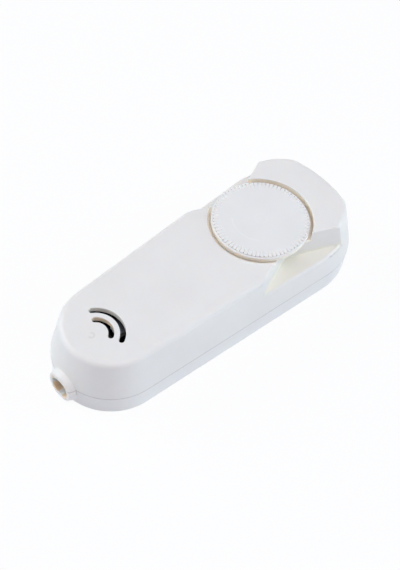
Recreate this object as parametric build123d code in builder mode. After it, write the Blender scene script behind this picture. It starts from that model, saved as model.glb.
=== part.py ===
"""Inline cord dimmer: a tapered two-part housing with a knurled dial in a well.

Millimetres. +X runs along the length towards the dial end, +Z is up and the
underside lies on Z = 0. The origin is under the middle of the length.
"""
import os
from math import asin, atan, atan2, cos, degrees, radians, sin, sqrt

from build123d import *

# Housing, plan
overall_length = 101.2
tail_radius = 16.3
head_radius = 20.0
head_end_radius = 40.0
head_end_cut = 2.0
head_corner_radius = 7.0

# Housing, heights and walls
parting_height = 6.8
deck_height = 18.95
hood_height = 20.4
wall = 1.8
base_floor = 1.8
cover_draft = 12.5
base_draft = 2.5
edge_radius = 2.0
foot_edge_radius = 0.7
lip_height = 1.1
lip_thickness = 0.8
lip_clearance = 0.1

# Cord entries
cord_axis = 4.9
cord_bore_radius = 2.95
collar_length = 1.4
collar_mouth_radius = 4.3
collar_root_radius = 4.8
collar_lip_radius = 0.6

# Dial and its well
dial_from_head = 28.0
dial_diameter = 28.0
dial_top = 20.3
dial_thickness = 2.0
dial_rim_step = 0.4
dial_tooth_height = 0.55
dial_bevel_width = 2.4
dial_bevel_drop = 0.15
dial_teeth = 72
dial_groove_width = 0.75
dial_hub_radius = 5.0
dial_hub_gap = 0.5
dial_clearance = 1.0
dial_edge_radius = 0.25
well_gap = 0.87
well_floor_gap = 0.7

# Thumb scoops beside the dial
scoop_apex = 9.8
scoop_wall_angle = 23.0
scoop_wall_draft = 8.0
scoop_floor = 13.6
scoop_slope = 3.0

# Vents
vent_from_tail = 11.0
vent_radii = (4.1, 7.15)
vent_width = 1.55
vent_half_angles = (54.0, 59.0)

# Screws that hold the two shells together
boss_from_tail = 40.8
boss_from_head = 13.6
boss_tail_y = 11.3
boss_head_y = 12.6
boss_collar = 0.9
boss_radius = 2.9
screw_radius = 1.45
screw_clearance = 0.2
screw_head_radius = 2.7
screw_head_height = 1.6
screw_length = 12.0
screw_recess = 2.2
thread_gap = 0.05

# Circuit board
board_thickness = 1.6
board_underside = 4.2
board_gap = 0.8
board_from_tail = 9.4
board_from_head = 8.8
board_post_from_tail = 19.8
board_post_from_head = 21.6
board_post_tail_y = 10.5
board_post_head_y = 13.0
board_post_radius = 1.6

# Cord clamps
clamp_from_tail = 7.3
clamp_from_head = 6.4
clamp_width = 3.4
clamp_half_span = 8.2
clamp_seat_rise = 0.4
clamp_foot = 2.0
clamp_arch = 1.4
clamp_screw_y = 6.1
clamp_screw_radius = 1.4
clamp_screw_head_radius = 2.1
clamp_screw_head_height = 1.5
clamp_screw_length = 5.2

# Potentiometer and its spindle
pot_radius = 8.0
pot_height = 5.4
pot_wall = 0.8
pot_base_thickness = 1.2
spindle_radius = 3.0
spindle_clearance = 0.05
spindle_flat = 1.0
spindle_end_gap = 0.3
rotor_radius = 6.4
rotor_thickness = 1.4
track_radius = 5.2
track_width = 1.4
track_thickness = 0.15
wiper_gap = 0.7
pot_pin_pitch = 4.0
pot_pin_width = 1.0
pot_pin_thickness = 0.6
pot_pin_reach = 0.9

# Terminal blocks
terminal_from_tail = 12.8
terminal_from_head = 12.1
terminal_depth = 6.0
terminal_width = 11.0
terminal_height = 8.6
terminal_pitch = 5.0
terminal_wire_radius = 1.3
terminal_screw_radius = 1.25
terminal_head_radius = 1.7
terminal_head_height = 1.4
terminal_head_lift = 0.6
terminal_slot_width = 0.5
terminal_slot_depth = 0.5
terminal_edge = 0.5
cage_size = 3.8
cage_height = 5.0
cage_gap = 0.1
cage_lift = 0.6
cage_wire_rise = 1.9

# Heat sink, triac and the screw that holds them together
sink_from_tail = 16.2
sink_length = 14.0
sink_width = 20.0
sink_wall = 1.5
sink_plate_rise = 5.0
sink_height = 9.8
sink_fins = 7
sink_fin_thickness = 1.0
sink_screw_radius = 1.5
sink_screw_head_radius = 2.7
sink_screw_head_height = 1.8
sink_nut_height = 2.4
sink_nut_radius = 3.1
sink_screw_inset = 3.25
sink_head_clearance = 0.5
triac_width = 10.0
triac_tab_thickness = 1.3
triac_tab_reach = 6.0
triac_body_length = 9.0
triac_body_thickness = 3.1
triac_lead_pitch = 2.54
triac_lead_width = 0.8
triac_lead_thickness = 0.5
triac_lead_reach = 1.6
triac_inset = 0.4
triac_edge = 0.5
triac_tab_cover = 1.2

# Other parts on the board
lead_radius = 0.35
lead_tail = 1.0
choke_from_tail = 36.7
choke_length = 14.0
choke_core_radius = 2.0
choke_winding_radius = 2.75
choke_winding_length = 12.0
choke_turns = 12
suppressor_from_tail = 42.55
suppressor_thickness = 5.5
suppressor_width = 13.0
suppressor_height = 9.5
timing_from_dial = 1.0
timing_y = 12.0
timing_width = 7.2
timing_thickness = 5.0
timing_height = 4.0
capacitor_corner = 0.6
capacitor_pin_inset = 1.5
fuse_from_tail = 48.7
fuse_rise = 4.2
fuse_length = 20.0
fuse_tube_radius = 2.4
fuse_cap_radius = 2.6
fuse_cap_length = 5.0
fuse_clip_width = 4.0
fuse_clip_thickness = 0.4
fuse_end_thickness = 0.4
fuse_wire_radius = 0.15
fuse_glass = 0.6
fuse_clip_mouth = 3.1
resistor_from_dial = 7.0
resistor_from_flank = 8.8
resistor_radius = 1.2
resistor_length = 6.3
resistor_span = 9.0
diac_from_head = 17.4
diac_radius = 0.95
diac_length = 3.9
diac_span = 8.0

# Values that follow from the sizes above
tail_end_x = -overall_length / 2 + collar_length
head_end_x = overall_length / 2 - collar_length
tail_centre_x = tail_end_x + tail_radius
head_centre_x = head_end_x + head_end_cut - head_radius
end_centre_x = head_end_x - head_end_radius
end_to_corner = head_end_radius - head_corner_radius
side_to_corner = head_radius - head_corner_radius
centre_gap = head_centre_x - end_centre_x
corner_x = end_centre_x + (end_to_corner**2 - side_to_corner**2 + centre_gap**2) / (2 * centre_gap)
corner_y = sqrt(end_to_corner**2 - (corner_x - end_centre_x)**2)
side_turn = degrees(atan2(corner_y, corner_x - head_centre_x))
end_turn = degrees(atan2(corner_y, corner_x - end_centre_x))
dial_x = head_end_x - dial_from_head
vent_centre_x = tail_end_x + vent_from_tail
boss_tail = (tail_end_x + boss_from_tail, boss_tail_y)
boss_head = (head_end_x - boss_from_head, boss_head_y)
board_tail_x = tail_end_x + board_from_tail
board_head_x = head_end_x - board_from_head
board_posts = (
    (tail_end_x + board_post_from_tail, board_post_tail_y),
    (head_end_x - board_post_from_head, board_post_head_y),
)
clamp_tail_x = tail_end_x + clamp_from_tail
clamp_head_x = head_end_x - clamp_from_head
terminal_tail_x = tail_end_x + terminal_from_tail
terminal_head_x = head_end_x - terminal_from_head
sink_tail_x = tail_end_x + sink_from_tail
choke_x = tail_end_x + choke_from_tail
fuse_x = tail_end_x + fuse_from_tail
diac_place = (head_end_x - diac_from_head, 0)
resistor_y = head_radius - resistor_from_flank
resistor_places = [(dial_x - resistor_from_dial, side * resistor_y) for side in (1, -1)]
lean = degrees(asin((head_radius - tail_radius) / (head_centre_x - tail_centre_x)))
collar_draft = degrees(atan((collar_root_radius - collar_mouth_radius) / collar_length))
dial_radius = dial_diameter / 2
dial_underside = dial_top - dial_thickness
well_radius = dial_radius + well_gap
well_floor = dial_underside - well_floor_gap
board_top = board_underside + board_thickness
pot_top = board_top + pot_height
lip_inset = wall - lip_thickness
tooth_radius = dial_radius - dial_rim_step
hub_bottom = pot_top + dial_clearance
spindle_top = dial_top - dial_thickness
clamp_seat = cord_axis + clamp_seat_rise
sink_plate = board_top + sink_plate_rise
sink_screw_x = sink_tail_x + sink_screw_inset
lip_top = parting_height + lip_height
recess_radius = screw_head_radius + 0.4
screw_tip = screw_recess + screw_length
boss_places = [(x, side * y) for x, y in (boss_tail, boss_head) for side in (1, -1)]
STANDING = (Align.CENTER, Align.CENTER, Align.MIN)

os.makedirs("parts", exist_ok=True)


def plan_outline(inset):
    """Plan of the housing, moved in from its outline at the parting plane."""
    with BuildSketch() as plan:
        with BuildLine():
            tail = CenterArc((tail_centre_x, 0), tail_radius - inset, 90 + lean, 180 - 2 * lean)
            side_sweep = 90 + lean - side_turn
            near_side = CenterArc((head_centre_x, 0), head_radius - inset, -90 - lean, side_sweep)
            CenterArc((corner_x, -corner_y), head_corner_radius - inset, -side_turn, side_turn - end_turn)
            CenterArc((end_centre_x, 0), head_end_radius - inset, -end_turn, 2 * end_turn)
            CenterArc((corner_x, corner_y), head_corner_radius - inset, end_turn, side_turn - end_turn)
            far_side = CenterArc((head_centre_x, 0), head_radius - inset, side_turn, side_sweep)
            Line(far_side @ 1, tail @ 0)
            Line(tail @ 1, near_side @ 0)
        make_face()
    return plan.sketch


def tapered_block(inset, bottom, top, draft, rounding=0.0):
    """Block on the plan outline, drawn in by its draft, with its top edge rounded."""
    with BuildPart() as block:
        with BuildSketch(Plane.XY.offset(bottom)):
            add(plan_outline(inset))
        extrude(amount=top - bottom, taper=draft)
        if rounding:
            fillet(block.faces().sort_by(Axis.Z)[-1].edges(), radius=rounding)
    return block.part


def scoop_volume(grow):
    """Space of the thumb scoop on the -Y side, made larger all round by grow."""
    reach = 3 * head_radius
    with BuildPart() as scoop:
        with BuildSketch(Plane.XY.offset(hood_height + grow)):
            with BuildLine():
                deck_side = PolarLine((dial_x, grow - scoop_apex), reach, 180 + scoop_wall_angle)
                hood_side = PolarLine((dial_x, grow - scoop_apex), reach, -scoop_wall_angle)
                Line(deck_side @ 1, hood_side @ 1)
            make_face()
        extrude(amount=-hood_height, taper=scoop_wall_draft)
        floor_plane = Plane(
            origin=(dial_x, -head_radius, scoop_floor - grow),
            x_dir=(1, 0, 0),
            z_dir=(0, sin(radians(scoop_slope)), cos(radians(scoop_slope))),
        )
        split(bisect_by=floor_plane, keep=Keep.TOP)
    return scoop.part


def both_sides(shape):
    """A shape and its mirror image across the length."""
    return [shape, shape.mirror(Plane.XZ)]


def base_block():
    """Outside of the base, drawn in towards its foot."""
    with BuildPart() as block:
        with BuildSketch(Plane.XY.offset(parting_height)):
            add(plan_outline(0))
        extrude(amount=-parting_height, taper=base_draft)
    return block.part


def collar(keep):
    """Half of the tapered collar round each cord entry, above or below the cord's axis."""
    with BuildPart() as halves:
        with BuildSketch(Plane.YZ.offset(-overall_length / 2)):
            with Locations((0, cord_axis)):
                Circle(collar_mouth_radius)
        extrude(amount=collar_length, taper=-collar_draft)
        fillet(halves.edges().group_by(Axis.X)[0], radius=collar_lip_radius)
        with BuildSketch(Plane.YZ.offset(tail_end_x)):
            with Locations((0, cord_axis)):
                Circle(collar_root_radius)
        extrude(amount=wall)
        mirror(about=Plane.YZ)
        split(bisect_by=Plane.XY.offset(cord_axis), keep=keep)
    return halves.part


def cord_bores():
    """Bores of both cord entries, through collar and wall."""
    with BuildPart() as bores:
        with BuildSketch(Plane.YZ.offset(-overall_length / 2)):
            with Locations((0, cord_axis)):
                Circle(cord_bore_radius)
        extrude(amount=overall_length)
    return bores.part


# Upper cover
with BuildPart() as cover_space:
    add(tapered_block(wall, parting_height, deck_height - wall, cover_draft))
    add(tapered_block(wall, parting_height, hood_height - wall, cover_draft).split(
        Plane.YZ.offset(dial_x + well_radius + wall), keep=Keep.TOP))
    for keep in both_sides(scoop_volume(wall)):
        add(keep, mode=Mode.SUBTRACT)
    with Locations((dial_x, 0, well_floor - wall)):
        Cylinder(well_radius + wall, hood_height, align=STANDING, mode=Mode.SUBTRACT)
    with Locations(*[(x, y, parting_height) for x, y in boss_places]):
        Cylinder(boss_radius, hood_height, align=STANDING, mode=Mode.SUBTRACT)
    add(tapered_block(lip_inset - lip_clearance, parting_height, lip_top + lip_clearance, 0))

with BuildPart() as upper_cover:
    add(tapered_block(0, parting_height, deck_height, cover_draft, edge_radius))
    add(tapered_block(0, parting_height, hood_height, cover_draft, edge_radius).split(
        Plane.YZ.offset(dial_x), keep=Keep.TOP))
    add(collar(Keep.TOP))
    add(base_block(), mode=Mode.SUBTRACT)
    add(cover_space.part, mode=Mode.SUBTRACT)
    for scoop in both_sides(scoop_volume(0)):
        add(scoop, mode=Mode.SUBTRACT)
    with Locations((dial_x, 0, well_floor)):
        Cylinder(well_radius, hood_height, align=STANDING, mode=Mode.SUBTRACT)
    with Locations((dial_x, 0, well_floor - 2 * wall)):
        Cylinder(dial_hub_radius + dial_hub_gap, 3 * wall, align=STANDING, mode=Mode.SUBTRACT)
    with Locations(*[(x, y, parting_height) for x, y in boss_places]):
        Cylinder(screw_radius + thread_gap, screw_tip - parting_height + 1, align=STANDING,
                 mode=Mode.SUBTRACT)
    with BuildSketch(Plane.XY.offset(deck_height)):
        for radius, half_angle in zip(vent_radii, vent_half_angles):
            SlotArc(CenterArc((vent_centre_x, 0), radius, -half_angle, 2 * half_angle), vent_width)
    extrude(amount=-2 * wall, mode=Mode.SUBTRACT)
    add(cord_bores(), mode=Mode.SUBTRACT)
upper_cover.part.label = "upper_cover"
export_step(upper_cover.part, "parts/upper_cover.step")

# Base shell
with BuildPart() as base_shell:
    add(base_block())
    fillet(base_shell.faces().sort_by(Axis.Z)[0].edges(), radius=foot_edge_radius)
    add(tapered_block(lip_inset, parting_height, lip_top, 0))
    add(collar(Keep.BOTTOM))
    add(tapered_block(wall, base_floor, lip_top, 0), mode=Mode.SUBTRACT)
    with Locations(*[(x, y, 0) for x, y in boss_places]):
        Cylinder(recess_radius + boss_collar, screw_recess + base_floor, align=STANDING)
        Cylinder(boss_radius, parting_height, align=STANDING)
    with Locations(*[(x, side * y, 0) for x, y in board_posts for side in (1, -1)]):
        Cylinder(board_post_radius, board_underside, align=STANDING)
    with Locations(*[(x, 0, base_floor / 2) for x in (clamp_tail_x, clamp_head_x)]):
        Box(clamp_width, 2 * clamp_half_span, clamp_seat - base_floor / 2, align=STANDING)
    with Locations(*[(x, y, 0) for x, y in boss_places]):
        Cylinder(recess_radius, screw_recess, align=STANDING, mode=Mode.SUBTRACT)
        Cylinder(screw_radius + screw_clearance, parting_height, align=STANDING, mode=Mode.SUBTRACT)
    with Locations(*[(x, side * clamp_screw_y, base_floor) for x in (clamp_tail_x, clamp_head_x)
                     for side in (1, -1)]):
        Cylinder(clamp_screw_radius + thread_gap, parting_height, align=STANDING, mode=Mode.SUBTRACT)
    add(cord_bores(), mode=Mode.SUBTRACT)
base_shell.part.label = "base_shell"
export_step(base_shell.part, "parts/base_shell.step")

# Screws from below that hold the two shells together
with BuildPart() as housing_screws:
    with Locations(*[(x, y, screw_recess - screw_head_height) for x, y in boss_places]):
        Cylinder(screw_head_radius, screw_head_height, align=STANDING)
        Cylinder(screw_radius, screw_head_height + screw_length - 1, align=STANDING)
housing_screws.part.label = "housing_screws"
export_step(housing_screws.part, "parts/housing_screws.step")

# Dial, with its grooves cut before the flange under the teeth is added
with BuildPart() as dial_groove:
    groove_lean = atan(dial_tooth_height / dial_bevel_width)
    groove_plane = Plane(
        origin=(tooth_radius - dial_bevel_width, 0, dial_top),
        x_dir=(0, 1, 0),
        z_dir=(cos(groove_lean), 0, -sin(groove_lean)),
    )
    with BuildSketch(groove_plane):
        Polygon(
            (0, 0),
            (dial_groove_width, 2 * dial_tooth_height),
            (-dial_groove_width, 2 * dial_tooth_height),
            align=None,
        )
    extrude(amount=2 * dial_bevel_width)

with BuildPart() as dial:
    with BuildSketch(Plane.XZ):
        with BuildLine():
            Polyline(
                (dial_x, dial_top),
                (dial_x + tooth_radius - dial_bevel_width, dial_top),
                (dial_x + tooth_radius, dial_top - dial_bevel_drop),
                (dial_x + tooth_radius, dial_underside),
                (dial_x + dial_hub_radius, dial_underside),
                (dial_x + dial_hub_radius, hub_bottom),
                (dial_x, hub_bottom),
                close=True,
            )
        make_face()
    revolve(axis=Axis((dial_x, 0, 0), (0, 0, 1)))
    with Locations((dial_x, 0)):
        with PolarLocations(0, dial_teeth):
            add(dial_groove.part, mode=Mode.SUBTRACT)
    with Locations((dial_x, 0, dial_underside)):
        Cylinder(dial_radius, dial_thickness - dial_tooth_height, align=STANDING)
    rim_edges = dial.edges().filter_by(GeomType.CIRCLE).filter_by(lambda edge: edge.radius == dial_radius)
    fillet(rim_edges, radius=dial_edge_radius)
    with BuildSketch(Plane.XY.offset(hub_bottom)):
        with Locations((dial_x, 0)):
            Circle(spindle_radius + spindle_clearance)
            with Locations((2 * spindle_radius - spindle_flat + spindle_clearance, 0)):
                Rectangle(2 * spindle_radius, 2 * dial_radius, mode=Mode.SUBTRACT)
    extrude(amount=spindle_top + spindle_end_gap - hub_bottom, mode=Mode.SUBTRACT)
dial.part.label = "dial"
export_step(dial.part, "parts/dial.step")

# Potentiometer: wafer with its track, case, and the spindle with its wiper
pot_pins_y = [side * pot_pin_pitch for side in (-1, 0, 1)]
with BuildPart() as pot_terminals:
    pot_pin_x = dial_x + pot_radius + pot_pin_reach
    with Locations(*[(pot_pin_x, y, board_underside - lead_tail) for y in pot_pins_y]):
        Box(pot_pin_thickness, pot_pin_width, lead_tail + board_thickness + pot_pin_thickness,
            align=(Align.MAX, Align.CENTER, Align.MIN))
    with Locations(*[(dial_x + pot_radius + pot_pin_reach, y, board_top) for y in pot_pins_y]):
        Box(2 * pot_pin_reach, pot_pin_width, pot_pin_thickness, align=(Align.MAX, Align.CENTER, Align.MIN))
pot_terminals.part.label = "pot_terminals"
export_step(pot_terminals.part, "parts/pot_terminals.step")

with BuildPart() as pot_base:
    with Locations((dial_x, 0, board_top)):
        Cylinder(pot_radius, pot_base_thickness, align=STANDING)
    add(pot_terminals.part, mode=Mode.SUBTRACT)
pot_base.part.label = "pot_base"
export_step(pot_base.part, "parts/pot_base.step")

with BuildPart() as pot_track:
    with BuildSketch(Plane.XY.offset(board_top + pot_base_thickness)):
        SlotArc(CenterArc((dial_x, 0), track_radius, 30, 300), track_width)
    extrude(amount=track_thickness)
pot_track.part.label = "pot_track"
export_step(pot_track.part, "parts/pot_track.step")

with BuildPart() as pot_case:
    with Locations((dial_x, 0, board_top + pot_base_thickness)):
        Cylinder(pot_radius, pot_height - pot_base_thickness, align=STANDING)
        Cylinder(pot_radius - pot_wall, pot_height - pot_base_thickness - pot_wall, align=STANDING,
                 mode=Mode.SUBTRACT)
        Cylinder(spindle_radius + spindle_clearance, pot_height, align=STANDING, mode=Mode.SUBTRACT)
pot_case.part.label = "pot_case"
export_step(pot_case.part, "parts/pot_case.step")

with BuildPart() as pot_spindle:
    with Locations((dial_x, 0, board_top + pot_base_thickness + wiper_gap)):
        Cylinder(rotor_radius, rotor_thickness, align=STANDING)
    with BuildSketch(Plane.XY.offset(board_top + pot_base_thickness + wiper_gap)):
        with Locations((dial_x, 0)):
            Circle(spindle_radius)
    extrude(amount=pot_top - board_top - pot_base_thickness - wiper_gap)
    with BuildSketch(Plane.XY.offset(pot_top)):
        with Locations((dial_x, 0)):
            Circle(spindle_radius)
            with Locations((2 * spindle_radius - spindle_flat, 0)):
                Rectangle(2 * spindle_radius, 2 * dial_radius, mode=Mode.SUBTRACT)
    extrude(amount=spindle_top - pot_top)
pot_spindle.part.label = "pot_spindle"
export_step(pot_spindle.part, "parts/pot_spindle.step")

with BuildPart() as pot_wiper:
    with BuildSketch(Plane.XY.offset(board_top + pot_base_thickness + wiper_gap / 2)):
        with Locations((dial_x, 0)):
            Circle(track_radius + track_width / 2)
            Circle(track_radius - track_width / 2, mode=Mode.SUBTRACT)
    extrude(amount=wiper_gap / 2)
pot_wiper.part.label = "pot_wiper"
export_step(pot_wiper.part, "parts/pot_wiper.step")

# Heat sink: a channel with fins on its back, standing on the board
with BuildPart() as heat_sink:
    with BuildSketch(Plane.YZ.offset(sink_tail_x)):
        with Locations((0, board_top)):
            Rectangle(sink_width, sink_plate_rise + sink_wall, align=(Align.CENTER, Align.MIN))
            Rectangle(sink_width - 2 * sink_wall, sink_plate_rise, align=(Align.CENTER, Align.MIN),
                      mode=Mode.SUBTRACT)
        with Locations((0, (sink_plate + sink_wall + board_top + sink_height) / 2)):
            with GridLocations((sink_width - sink_fin_thickness) / (sink_fins - 1), 1, sink_fins, 1):
                Rectangle(sink_fin_thickness, sink_height - sink_plate_rise - sink_wall)
    extrude(amount=sink_length)
    with Locations((sink_screw_x, 0, sink_plate + sink_wall)):
        Cylinder(sink_screw_head_radius + sink_head_clearance, sink_height, align=STANDING,
                 mode=Mode.SUBTRACT)
    with Locations((sink_screw_x, 0, sink_plate)):
        Cylinder(sink_screw_radius + thread_gap, sink_wall, align=STANDING, mode=Mode.SUBTRACT)
heat_sink.part.label = "heat_sink"
export_step(heat_sink.part, "parts/heat_sink.step")

with BuildPart() as heat_sink_screw:
    with Locations((sink_screw_x, 0, sink_plate + sink_wall)):
        Cylinder(sink_screw_head_radius, sink_screw_head_height, align=STANDING)
    with Locations((sink_screw_x, 0, sink_plate - triac_tab_thickness - sink_nut_height)):
        Cylinder(sink_screw_radius, sink_nut_height + triac_tab_thickness + sink_wall, align=STANDING)
heat_sink_screw.part.label = "heat_sink_screw"
export_step(heat_sink_screw.part, "parts/heat_sink_screw.step")

with BuildPart() as heat_sink_nut:
    with BuildSketch(Plane.XY.offset(sink_plate - triac_tab_thickness - sink_nut_height)):
        with Locations((sink_screw_x, 0)):
            RegularPolygon(sink_nut_radius, 6)
            Circle(sink_screw_radius + thread_gap, mode=Mode.SUBTRACT)
    extrude(amount=sink_nut_height)
heat_sink_nut.part.label = "heat_sink_nut"
export_step(heat_sink_nut.part, "parts/heat_sink_nut.step")

# Triac: its tab lies against the underside of the heat sink
triac_tail_x = sink_tail_x + triac_inset
triac_body_x = triac_tail_x + triac_tab_reach
with BuildPart() as triac_tab:
    with Locations((triac_tail_x, 0, sink_plate)):
        Box(triac_tab_reach + triac_body_length - triac_tab_cover, triac_width, triac_tab_thickness,
            align=(Align.MIN, Align.CENTER, Align.MAX))
    with Locations((sink_screw_x, 0, sink_plate)):
        Cylinder(sink_screw_radius + thread_gap, triac_tab_thickness,
                 align=(Align.CENTER, Align.CENTER, Align.MAX), mode=Mode.SUBTRACT)
triac_tab.part.label = "triac_tab"
export_step(triac_tab.part, "parts/triac_tab.step")

with BuildPart() as triac_body:
    with Locations((triac_body_x, 0, sink_plate - triac_tab_thickness)):
        Box(triac_body_length, triac_width, triac_body_thickness, align=(Align.MIN, Align.CENTER, Align.MAX))
    chamfer(triac_body.faces().sort_by(Axis.Z)[0].edges(), length=triac_edge)
triac_body.part.label = "triac_body"
export_step(triac_body.part, "parts/triac_body.step")

lead_z = sink_plate - triac_tab_thickness - triac_body_thickness / 2
with BuildPart() as triac_leads:
    for side in (-1, 0, 1):
        with Locations((triac_body_x + triac_body_length, side * triac_lead_pitch, lead_z)):
            Box(triac_lead_reach, triac_lead_width, triac_lead_thickness,
                align=(Align.MIN, Align.CENTER, Align.CENTER))
        lead_x = triac_body_x + triac_body_length + triac_lead_reach
        with Locations((lead_x, side * triac_lead_pitch, lead_z)):
            Box(triac_lead_thickness, triac_lead_width, lead_z - board_underside + lead_tail,
                align=(Align.MAX, Align.CENTER, Align.MAX))
triac_leads.part.label = "triac_leads"
export_step(triac_leads.part, "parts/triac_leads.step")


# Choke: ferrite rod with its winding
choke_z = board_top + choke_winding_radius
with BuildPart() as choke_core:
    with BuildSketch(Plane.XZ.offset(-choke_length / 2)):
        with Locations((choke_x, choke_z)):
            Circle(choke_core_radius)
    extrude(amount=choke_length)
choke_core.part.label = "choke_core"
export_step(choke_core.part, "parts/choke_core.step")

wire_radius = choke_winding_length / choke_turns / 2
with BuildPart() as choke_winding:
    with BuildSketch(Plane.YZ.offset(choke_x)):
        with Locations((0, choke_z + choke_core_radius)):
            Rectangle(choke_winding_length, choke_winding_radius - choke_core_radius - wire_radius / 2,
                      align=(Align.CENTER, Align.MIN))
        with Locations((0, choke_z + choke_winding_radius - wire_radius)):
            with GridLocations(2 * wire_radius, 1, choke_turns, 1):
                RegularPolygon(1.1 * wire_radius, 6)
        with Locations((0, choke_z)):
            Rectangle(choke_length, 2 * choke_core_radius, mode=Mode.SUBTRACT)
    revolve(axis=Axis((choke_x, 0, choke_z), (0, 1, 0)))
choke_winding.part.label = "choke_winding"
export_step(choke_winding.part, "parts/choke_winding.step")

# Capacitors: moulded boxes standing on the board, with their pins through it
capacitors = (
    ("suppression_capacitor", (tail_end_x + suppressor_from_tail, 0),
     (suppressor_thickness, suppressor_width, suppressor_height)),
    ("timing_capacitor", (dial_x + timing_from_dial, timing_y),
     (timing_width, timing_thickness, timing_height)),
)
for name, centre, size in capacitors:
    with BuildPart() as capacitor:
        with Locations((*centre, board_top)):
            Box(*size, align=STANDING)
        fillet(capacitor.edges().filter_by(Axis.Z), radius=capacitor_corner)
    capacitor.part.label = name
    export_step(capacitor.part, f"parts/{name}.step")

with BuildPart() as capacitor_pins:
    for name, centre, size in capacitors:
        turn = 0 if size[0] > size[1] else 90
        with Locations(Location((*centre, board_underside - lead_tail), (0, 0, turn))):
            with GridLocations(max(size[:2]) - 2 * capacitor_pin_inset, 1, 2, 1):
                Cylinder(lead_radius, board_thickness + lead_tail, align=STANDING)
capacitor_pins.part.label = "capacitor_pins"
export_step(capacitor_pins.part, "parts/capacitor_pins.step")


def axial_body(centre, radius, length):
    """Body of an axial part that lies across the board."""
    with BuildPart() as body:
        with BuildSketch(Plane.XZ.offset(-centre[1] - length / 2)):
            with Locations((centre[0], board_top + radius + lead_radius)):
                Circle(radius)
        extrude(amount=length)
    return body.part


def axial_leads(centre, radius, length, span):
    """Two leads of an axial part, from its ends down through the board."""
    height = board_top + radius + lead_radius
    with BuildPart() as leads:
        for side in (-1, 1):
            start = (centre[0], centre[1] + side * length / 2, height)
            corner = (centre[0], centre[1] + side * span / 2, height)
            with BuildLine():
                FilletPolyline(start, corner, (corner[0], corner[1], board_underside - lead_tail),
                               radius=2 * lead_radius)
            with BuildSketch(Plane(origin=start, z_dir=(0, side, 0))):
                Circle(lead_radius)
            sweep()
    return leads.part


# Resistors and the diac
with BuildPart() as resistors:
    for place in resistor_places:
        add(axial_body(place, resistor_radius, resistor_length))
resistors.part.label = "resistors"
export_step(resistors.part, "parts/resistors.step")

with BuildPart() as resistor_leads:
    for place in resistor_places:
        add(axial_leads(place, resistor_radius, resistor_length, resistor_span))
resistor_leads.part.label = "resistor_leads"
export_step(resistor_leads.part, "parts/resistor_leads.step")

with BuildPart() as diac:
    add(axial_body(diac_place, diac_radius, diac_length))
diac.part.label = "diac"
export_step(diac.part, "parts/diac.step")

with BuildPart() as diac_leads:
    add(axial_leads(diac_place, diac_radius, diac_length, diac_span))
diac_leads.part.label = "diac_leads"
export_step(diac_leads.part, "parts/diac_leads.step")

# Fuse across the board, held by two spring clips
fuse_z = board_top + fuse_rise
fuse_cap_y = (fuse_length - fuse_cap_length) / 2
with BuildPart() as fuse_tube:
    with BuildSketch(Plane.XZ.offset(-fuse_length / 2)):
        with Locations((fuse_x, fuse_z)):
            Circle(fuse_tube_radius)
            Circle(fuse_tube_radius - fuse_glass, mode=Mode.SUBTRACT)
    extrude(amount=fuse_length)
fuse_tube.part.label = "fuse_tube"
export_step(fuse_tube.part, "parts/fuse_tube.step")

with BuildPart() as fuse_caps:
    for side in (-1, 1):
        with BuildSketch(Plane.XZ.offset(-side * (fuse_length / 2 - fuse_cap_length))):
            with Locations((fuse_x, fuse_z)):
                Circle(fuse_cap_radius)
                Circle(fuse_tube_radius, mode=Mode.SUBTRACT)
        extrude(amount=-side * fuse_cap_length)
        with BuildSketch(Plane.XZ.offset(-side * fuse_length / 2)):
            with Locations((fuse_x, fuse_z)):
                Circle(fuse_cap_radius)
        extrude(amount=-side * fuse_end_thickness)
fuse_caps.part.label = "fuse_caps"
export_step(fuse_caps.part, "parts/fuse_caps.step")

with BuildPart() as fuse_wire:
    with BuildSketch(Plane.XZ.offset(-fuse_length / 2)):
        with Locations((fuse_x, fuse_z)):
            Circle(fuse_wire_radius)
    extrude(amount=fuse_length)
fuse_wire.part.label = "fuse_wire"
export_step(fuse_wire.part, "parts/fuse_wire.step")

with BuildPart() as fuse_clips:
    for side in (-1, 1):
        with BuildSketch(Plane.XZ.offset(-side * fuse_cap_y - fuse_clip_width / 2)):
            with Locations((fuse_x, fuse_z)):
                Circle(fuse_cap_radius + fuse_clip_thickness)
                Circle(fuse_cap_radius, mode=Mode.SUBTRACT)
                with Locations((0, fuse_cap_radius + fuse_clip_mouth / 2)):
                    Rectangle(fuse_clip_mouth, 2 * fuse_clip_mouth, mode=Mode.SUBTRACT)
            with Locations((fuse_x, board_top)):
                Rectangle(2 * fuse_cap_radius, fuse_clip_thickness, align=(Align.CENTER, Align.MIN))
                Rectangle(2 * fuse_clip_thickness, fuse_rise - fuse_cap_radius,
                          align=(Align.CENTER, Align.MIN))
        extrude(amount=fuse_clip_width)
fuse_clips.part.label = "fuse_clips"
export_step(fuse_clips.part, "parts/fuse_clips.step")

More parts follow.
